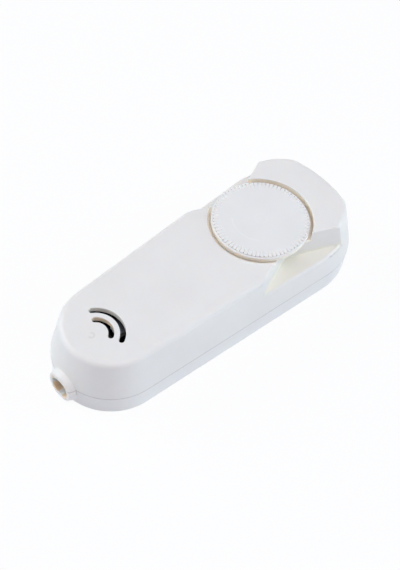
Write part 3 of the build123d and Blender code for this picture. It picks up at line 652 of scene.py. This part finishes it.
@dataclass
class ThumbDial:
    """The dial: a turned disc whose rim a tree of nodes cuts into grooves."""

    finish: Finish = DIAL_ABS
    teeth: int = 72
    steps_per_tooth: int = 12
    rim_step: float = 0.4 * MM
    groove_depth: float = 0.55 * MM
    groove_length: float = 2.4 * MM
    groove_half_width: float = 0.375 * MM
    groove_bend: float = 1.3
    rim_drop: float = 0.15 * MM
    rim_height: float = 2.0 * MM
    edge_radius: float = 0.25 * MM
    hub_radius: float = 5.0 * MM
    bore_radius: float = 3.05 * MM
    bore_depth: float = 1.7 * MM
    slope_rings: int = 12
    flank_rings: int = 3
    edge_rings: int = 5
    crease_degrees: float = 40.0

    def profile(self) -> list[tuple[float, float]]:
        """Work out the disc's rings, close together where the grooves lie.

        Returns:
            Radius and height of each ring.
        """
        low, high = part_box("dial")
        outer = (high.x - low.x) / 2
        top, foot = high.z, low.z
        tooth = outer - self.rim_step
        start = tooth - self.groove_length
        flange = top - self.groove_depth
        under = top - self.rim_height
        rings = [(0.0, top), (start / 2, top)]
        for step in range(self.slope_rings + 1):
            share = step / self.slope_rings
            rings.append((start + self.groove_length * share, top - self.rim_drop * share ** 2))
        flank = self.groove_depth - self.rim_drop
        for step in range(1, self.flank_rings + 1):
            rings.append((tooth, top - self.rim_drop - flank * step / self.flank_rings))
        edge = self.edge_radius
        rings += quarter((outer - edge, flange - edge), edge, 90, 0, self.edge_rings)
        rings += quarter((outer - edge, under + edge), edge, 0, -90, self.edge_rings)
        rings += [(self.hub_radius, under), (self.hub_radius, foot), (self.bore_radius, foot)]
        rings += [(self.bore_radius, top - self.bore_depth), (0.0, top - self.bore_depth)]
        return rings

    def grooves(self, axis_x: float, top: float, tooth: float) -> FormTree:
        """Build the tree that lowers the rim's surface to the V of each groove.

        Args:
            axis_x: Where the dial's axis stands.
            top: Height of the dial's face.
            tooth: Radius of the teeth.

        Returns:
            The finished tree.
        """
        form = FormTree("dial_grooves", {
            "Teeth": self.teeth,
            "Axis X": axis_x,
            "Start Radius": tooth - self.groove_length,
            "Top": top,
            "Flange": top - self.groove_depth,
            "Length": self.groove_length,
            "Depth": self.groove_depth,
            "Bend": self.groove_bend,
            "Flank": self.groove_depth / self.groove_half_width,
        })
        tree, size = form.tree, form.start.outputs
        place = add_node(tree, "GeometryNodeInputPosition").outputs[0]
        parts = add_node(tree, "ShaderNodeSeparateXYZ", links={0: place}).outputs
        across = add_node(tree, "ShaderNodeMath", links={0: parts["X"], 1: size["Axis X"]},
                          operation="SUBTRACT")
        flat = add_node(tree, "ShaderNodeCombineXYZ", links={"X": across.outputs[0], "Y": parts["Y"]})
        radius = add_node(tree, "ShaderNodeVectorMath", links={0: flat.outputs[0]}, operation="LENGTH")
        turn = add_node(tree, "ShaderNodeMath", links={0: parts["Y"], 1: across.outputs[0]},
                        operation="ARCTAN2")
        whole = add_node(tree, "ShaderNodeMath", {1: 2 * math.pi}, {0: size["Teeth"]}, operation="DIVIDE")
        count = add_node(tree, "ShaderNodeMath", links={0: turn.outputs[0], 1: whole.outputs[0]},
                         operation="MULTIPLY")
        beside = add_node(tree, "ShaderNodeMath", {1: 0.5}, {0: count.outputs[0]}, operation="PINGPONG")
        pitch = add_node(tree, "ShaderNodeMath", links={0: radius.outputs["Value"], 1: whole.outputs[0]},
                         operation="DIVIDE")
        away = add_node(tree, "ShaderNodeMath", links={0: beside.outputs[0], 1: pitch.outputs[0]},
                        operation="MULTIPLY")
        out = add_node(tree, "ShaderNodeMath", links={0: radius.outputs["Value"], 1: size["Start Radius"]},
                       operation="SUBTRACT")
        along = add_node(tree, "ShaderNodeMath", links={0: out.outputs[0], 1: size["Length"]},
                         operation="DIVIDE")
        ahead = add_node(tree, "ShaderNodeMath", {1: 0.0}, {0: along.outputs[0]}, operation="MAXIMUM")
        bent = add_node(tree, "ShaderNodeMath", links={0: ahead.outputs[0], 1: size["Bend"]},
                        operation="POWER")
        drop = add_node(tree, "ShaderNodeMath", links={0: bent.outputs[0], 1: size["Depth"]},
                        operation="MULTIPLY")
        bottom = add_node(tree, "ShaderNodeMath", links={0: size["Top"], 1: drop.outputs[0]},
                          operation="SUBTRACT")
        flank = add_node(tree, "ShaderNodeMath",
                         links={0: away.outputs[0], 1: size["Flank"], 2: bottom.outputs[0]},
                         operation="MULTIPLY_ADD")
        above = add_node(tree, "ShaderNodeMath", links={0: flank.outputs[0], 1: size["Flange"]},
                         operation="MAXIMUM")
        height = add_node(tree, "ShaderNodeMath", links={0: parts["Z"], 1: above.outputs[0]},
                          operation="MINIMUM")
        moved = add_node(tree, "ShaderNodeCombineXYZ",
                         links={"X": parts["X"], "Y": parts["Y"], "Z": height.outputs[0]})
        cut = add_node(tree, "GeometryNodeSetPosition",
                       links={"Geometry": size["Geometry"], "Position": moved.outputs[0]})
        form.close(cut.outputs[0])
        return form

    def build(self) -> bpy.types.Object:
        """Make the dial and put it in place of its node.

        Returns:
            The piece.
        """
        low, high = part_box("dial")
        axis_x = (low.x + high.x) / 2
        tooth = (high.x - low.x) / 2 - self.rim_step
        blank = turned_mesh("dial_blank", self.profile(), self.teeth * self.steps_per_tooth, axis_x)
        piece = self.grooves(axis_x, high.z, tooth).piece("knurled_dial", blank, self.finish)
        shade(piece.data, self.crease_degrees)
        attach(piece, "dial")
        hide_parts("dial")
        return piece


@dataclass
class HousingScrews:
    """The four screws under the base, each with a cross recess in its head."""

    finish: Finish = ZINC_STEEL
    head_height: float = 1.6 * MM
    head_crown: float = 0.35 * MM
    shank_radius: float = 1.45 * MM
    tip_length: float = 0.5 * MM
    tip_share: float = 0.8
    recess_reach: float = 1.45 * MM
    recess_half_width: float = 0.42 * MM
    recess_depth: float = 1.0 * MM
    recess_taper: float = 0.45
    cutter_overlap: float = 0.2 * MM
    steps: int = 48
    crown_steps: int = 4
    crease_degrees: float = 35.0

    def head(self, head_radius: float, length: float) -> bpy.types.Mesh:
        """Make one screw, its head down at the origin and its shank up.

        Args:
            head_radius: Radius of the head.
            length: Length over all.

        Returns:
            The screw's mesh.
        """
        crown = self.head_crown
        profile = [
            (0.0, length),
            (self.shank_radius * self.tip_share, length),
            (self.shank_radius, length - self.tip_length),
            (self.shank_radius, self.head_height),
            (head_radius, self.head_height),
        ]
        profile += quarter((head_radius - crown, crown), crown, 0, -90, self.crown_steps)
        profile += [(0.0, 0.0)]
        screw = new_piece("screw_blank", turned_mesh("screw_blank", profile, self.steps))
        cutter = new_piece("cross_cutter", self.cross())
        cut = screw.modifiers.new("cross", "BOOLEAN")
        cut.operation = "DIFFERENCE"
        cut.solver = "EXACT"
        cut.object = cutter
        mesh = baked_mesh(screw)
        bpy.data.objects.remove(screw)
        bpy.data.objects.remove(cutter)
        return mesh

    def cross(self) -> bpy.types.Mesh:
        """Make the tapered cross that the recess is cut with.

        Returns:
            The cross, wide end down.
        """
        shape = bmesh.new()
        half, reach = self.recess_half_width, self.recess_reach
        outline = [(half, reach), (half, half), (reach, half)]
        rings = []
        for level, scale in ((-self.cutter_overlap, 1.0), (self.recess_depth, self.recess_taper)):
            ring = []
            for turn in range(4):
                spin = Matrix.Rotation(-turn * math.pi / 2, 3, "Z")
                ring += [shape.verts.new(spin @ Vector((x * scale, y * scale, level))) for x, y in outline]
            shape.faces.new(ring)
            rings.append(ring)
        wide, narrow = rings
        for at in range(len(wide)):
            after = (at + 1) % len(wide)
            shape.faces.new([wide[at], wide[after], narrow[after], narrow[at]])
        bmesh.ops.recalc_face_normals(shape, faces=shape.faces)
        mesh = bpy.data.meshes.new("cross")
        shape.to_mesh(mesh)
        shape.free()
        return mesh

    def build(self) -> bpy.types.Object:
        """Set one screw at each place of the solids' screws.

        Returns:
            The piece with all the screws.
        """
        low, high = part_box("housing_screws")
        places = screw_places()
        head_radius = places[0][1]
        form = FormTree("screw_set", {})
        tree = form.tree
        seeds = bpy.data.meshes.new("screw_places")
        seeds.from_pydata([place for place, _ in places], [], [])
        screw = new_piece("one_screw", self.head(head_radius, high.z - low.z))
        shade(screw.data, self.crease_degrees)
        source = add_node(tree, "GeometryNodeObjectInfo", {"As Instance": True, "Object": screw})
        points = add_node(tree, "GeometryNodeMeshToPoints", links={0: form.start.outputs["Geometry"]})
        spread = add_node(tree, "GeometryNodeInstanceOnPoints",
                          links={"Points": points.outputs[0], "Instance": source.outputs["Geometry"]})
        form.close(spread.outputs[0])
        piece = form.piece("housing_screw_set", seeds, self.finish)
        bpy.data.objects.remove(screw)
        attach(piece, "housing")
        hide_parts("housing_screws")
        return piece


def screw_places() -> list[tuple[tuple[float, float, float], float]]:
    """Find the separate screws of the housing_screws node.

    Returns:
        For each screw the middle of its head's underside, and the head's radius.
    """
    shape = bmesh.new()
    shape.from_mesh(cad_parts["housing_screws"].data)
    bmesh.ops.remove_doubles(shape, verts=shape.verts, dist=TINY)
    left = set(shape.verts)
    found = []
    while left:
        group, queue = set(), [left.pop()]
        while queue:
            vert = queue.pop()
            group.add(vert)
            for edge in vert.link_edges:
                other = edge.other_vert(vert)
                if other in left:
                    left.remove(other)
                    queue.append(other)
        xs = [vert.co.x for vert in group]
        ys = [vert.co.y for vert in group]
        foot = min(vert.co.z for vert in group)
        found.append((((min(xs) + max(xs)) / 2, (min(ys) + max(ys)) / 2, foot), (max(xs) - min(xs)) / 2))
    shape.free()
    return sorted(found)


@dataclass
class ChokeWinding:
    """Turns of enamelled wire on the choke's rod, as one helix."""

    finish: Finish = ENAMELLED_COPPER
    turns: int = 24
    steps_per_turn: int = 24
    wire_sides: int = 10
    crease_degrees: float = 60.0

    def build(self) -> bpy.types.Object:
        """Wind the wire along the rod and put it in place of its node.

        Returns:
            The piece.
        """
        low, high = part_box("choke_winding")
        core_low, core_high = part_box("choke_core")
        core_radius = (core_high.x - core_low.x) / 2
        wire_radius = (high.x - low.x) / 4 - core_radius / 2
        run = high.y - low.y - 2 * wire_radius
        form = FormTree("choke_winding", {
            "Turns": self.turns,
            "Winding Radius": core_radius + wire_radius,
            "Run": run,
            "Wire Radius": wire_radius,
        })
        tree, size = form.tree, form.start.outputs
        helix = add_node(
            tree, "GeometryNodeCurveSpiral", {"Resolution": self.steps_per_turn},
            {
                "Rotations": size["Turns"],
                "Start Radius": size["Winding Radius"],
                "End Radius": size["Winding Radius"],
                "Height": size["Run"],
            },
        )
        wire = add_node(tree, "GeometryNodeCurvePrimitiveCircle", {"Resolution": self.wire_sides},
                        {"Radius": size["Wire Radius"]})
        tube = add_node(tree, "GeometryNodeCurveToMesh", {"Fill Caps": True},
                        {"Curve": helix.outputs[0], "Profile Curve": wire.outputs[0]})
        laid = add_node(
            tree, "GeometryNodeTransform",
            {
                "Translation": ((low.x + high.x) / 2, high.y - wire_radius, (low.z + high.z) / 2),
                "Rotation": (math.pi / 2, 0.0, 0.0),
            },
            {"Geometry": tube.outputs[0]},
        )
        form.close(laid.outputs[0])
        piece = form.piece("choke_wire", bpy.data.meshes.new("no_start"), self.finish)
        shade(piece.data, self.crease_degrees)
        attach(piece, "housing")
        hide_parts("choke_winding")
        return piece


@dataclass
class Interior:
    """The pieces inside the housing, which keep their solids and take a finish."""

    finishes: dict[str, Finish] = field(default_factory=lambda: dict(NODE_FINISHES))

    def dress(self) -> None:
        """Give each node its finish."""
        for name, finish in self.finishes.items():
            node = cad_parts[name]
            node.data.materials.clear()
            node.data.materials.append(finish.material())
            LOG.info("%s: %s", name, finish.name)


@dataclass(frozen=True)
class PhotoCamera:
    """The photograph's viewpoint, found from the outline of the housing.

    Angles are in radians. The clip distances are in metres.
    """

    azimuth: float = -0.8157
    elevation: float = 0.9192
    roll: float = 0.1013
    lens_mm: float = 75.8
    distance: float = 343.65 * MM
    right_shift: float = 2.246 * MM
    up_shift: float = -2.863 * MM
    centre_x: float = 2.9 * MM
    clip: tuple[float, float] = (0.01, 20.0)

    def build(self) -> bpy.types.Object:
        """Make the camera and let the scene look through it.

        Returns:
            The camera.
        """
        cos_e, sin_e = math.cos(self.elevation), math.sin(self.elevation)
        cos_a, sin_a = math.cos(self.azimuth), math.sin(self.azimuth)
        back = Vector((sin_a * cos_e, -cos_a * cos_e, sin_e))
        level = Vector((cos_a, sin_a, 0.0))
        upright = back.cross(level)
        cos_r, sin_r = math.cos(self.roll), math.sin(self.roll)
        right = cos_r * level + sin_r * upright
        up = cos_r * upright - sin_r * level
        place = self.distance * back - self.right_shift * right - self.up_shift * up
        place.x += self.centre_x
        lens = bpy.data.cameras.new("photo_camera")
        lens.lens = self.lens_mm
        lens.clip_start, lens.clip_end = self.clip
        camera = bpy.data.objects.new("photo_camera", lens)
        bpy.context.scene.collection.objects.link(camera)
        camera.matrix_world = Matrix.Translation(place) @ Matrix((right, up, back)).transposed().to_4x4()
        bpy.context.scene.camera = camera
        return camera


@dataclass(frozen=True)
class SoftLamp:
    """A square softbox that looks at the dimmer, placed and sized in metres."""

    name: str
    place: tuple[float, float, float]
    size: float
    watts: float
    colour: str

    def build(self) -> None:
        """Put the lamp in the scene."""
        light = bpy.data.lights.new(self.name, "AREA")
        light.size = self.size
        light.energy = self.watts
        light.color = linear(self.colour)[:3]
        lamp = bpy.data.objects.new(self.name, light)
        bpy.context.scene.collection.objects.link(lamp)
        lamp.location = self.place
        lamp.rotation_euler = (-Vector(self.place)).to_track_quat("-Z", "Y").to_euler()


@dataclass
class Studio:
    """A white table in soft light, with the camera of the photograph."""

    camera: PhotoCamera = field(default_factory=PhotoCamera)
    floor_size: float = 6.0
    floor_colour: str = "F4F6F8"
    floor_share: float = 0.08
    sky_colour: str = "F0ECFF"
    sky_strength: float = 0.18
    lamps: Sequence[SoftLamp] = (
        SoftLamp("key_softbox", (-0.12, -0.5, 0.95), 1.0, 5.6, "EFEEFF"),
        SoftLamp("top_softbox", (0.0, 0.0, 1.0), 1.0, 2.2, "FBFAFF"),
        SoftLamp("back_softbox", (-0.5, 0.8, 0.45), 0.8, 7.0, "E8F3FF"),
        SoftLamp("side_softbox", (0.75, -0.65, 0.3), 0.7, 5.0, "D6EFFF"),
    )

    def sky(self) -> None:
        """Light the scene evenly, and show plain white behind the object."""
        world = bpy.data.worlds.new("studio")
        bpy.context.scene.world = world
        world.use_nodes = True
        tree = world.node_tree
        tree.nodes.clear()
        light = add_node(tree, "ShaderNodeBackground",
                         {"Color": linear(self.sky_colour), "Strength": self.sky_strength})
        white = add_node(tree, "ShaderNodeBackground", {"Color": linear("FFFFFF"), "Strength": 1.0})
        seen = self.seen_directly(tree)
        mixed = add_node(tree, "ShaderNodeMixShader",
                         links={0: seen, 1: light.outputs[0], 2: white.outputs[0]})
        add_node(tree, "ShaderNodeOutputWorld", links={"Surface": mixed.outputs[0]})

    @staticmethod
    def seen_directly(tree: bpy.types.NodeTree) -> bpy.types.NodeSocket:
        """Say whether a ray comes from the camera, a reflection or a clear piece.

        Args:
            tree: Tree of the floor or of the world.

        Returns:
            1 for such a ray, and 0 for light on its way.
        """
        rays = add_node(tree, "ShaderNodeLightPath").outputs
        shiny = add_node(tree, "ShaderNodeMath", links={0: rays["Is Camera Ray"], 1: rays["Is Glossy Ray"]},
                         operation="MAXIMUM")
        either = add_node(tree, "ShaderNodeMath",
                          links={0: shiny.outputs[0], 1: rays["Is Transmission Ray"]}, operation="MAXIMUM")
        return either.outputs[0]

    def floor(self) -> None:
        """Lay the white table, which keeps a trace of the object's shadow."""
        half = self.floor_size / 2
        mesh = bpy.data.meshes.new("table")
        corners = [(-half, -half, 0), (half, -half, 0), (half, half, 0), (-half, half, 0)]
        mesh.from_pydata(corners, [], [(0, 1, 2, 3)])
        table = new_piece("table", mesh)
        paint = bpy.data.materials.new("white_paper_sweep")
        paint.use_nodes = True
        tree = paint.node_tree
        tree.nodes.clear()
        paper = add_node(tree, "ShaderNodeBsdfDiffuse", {"Color": linear(self.floor_colour)})
        white = add_node(tree, "ShaderNodeEmission", {"Color": linear("FFFFFF"), "Strength": 1.0})
        share = add_node(tree, "ShaderNodeMath", {1: 1 - self.floor_share}, {0: self.seen_directly(tree)},
                         operation="MULTIPLY")
        mixed = add_node(tree, "ShaderNodeMixShader",
                         links={0: share.outputs[0], 1: paper.outputs[0], 2: white.outputs[0]})
        add_node(tree, "ShaderNodeOutputMaterial", links={"Surface": mixed.outputs[0]})
        mesh.materials.append(paint)

    def build(self) -> None:
        """Set up table, light and camera."""
        bpy.context.scene.view_settings.view_transform = "Standard"
        self.sky()
        self.floor()
        for lamp in self.lamps:
            lamp.build()
        self.camera.build()


def main() -> None:
    """Build the dressed dimmer in its studio."""
    logging.basicConfig(level=logging.INFO, format="%(name)s: %(message)s")
    Studio().build()
    Interior().dress()
    for part in (
        Moulding("upper_cover", "cover_moulding", COVER_ABS),
        Moulding("base_shell", "base_moulding", BASE_ABS),
        ThumbDial(),
        HousingScrews(),
        ChokeWinding(),
    ):
        piece = part.build()
        LOG.info("%s: %d faces", piece.name, len(piece.data.polygons))


if __name__ == "__main__":
    main()
